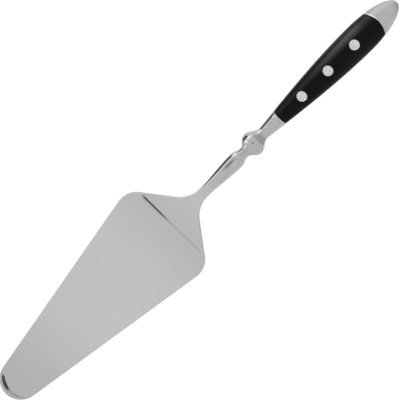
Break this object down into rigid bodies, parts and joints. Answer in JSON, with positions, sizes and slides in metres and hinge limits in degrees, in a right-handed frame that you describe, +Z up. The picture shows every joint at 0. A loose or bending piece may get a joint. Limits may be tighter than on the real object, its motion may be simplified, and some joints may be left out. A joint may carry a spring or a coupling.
{
  "type": "serving spatula",
  "caption": "Serving spatula with a flat tapering steel blade, a creased heel rising to a slender knobbed neck, and a black riveted grip that ends in a steel pommel.",
  "frame": {"origin": "on the surface that the blade lies on, under the middle of the whole piece's box", "axes": "+X from the blade's tip towards the pommel, +Z up from the flat of the blade, +Y across the blade"},
  "size_m": [0.2536, 0.0502, 0.0416],
  "materials": {
    "forged_steel": "forged stainless steel, ground and polished",
    "pommel_steel": "cast stainless steel, polished",
    "black_acetal": "black acetal, ground and lightly buffed",
    "rivet_aluminium": "aluminium, ground flush, matt"
  },
  "bodies": {
    "root": {"blade_forging": "forged_steel", "pommel_cap": "pommel_steel", "upper_scale": "black_acetal", "lower_scale": "black_acetal", "rivet_stud_1": "rivet_aluminium", "rivet_stud_2": "rivet_aluminium", "rivet_stud_3": "rivet_aluminium", "rivet_sleeve_1": "rivet_aluminium", "rivet_sleeve_2": "rivet_aluminium", "rivet_sleeve_3": "rivet_aluminium"}
  },
  "joints": []
}
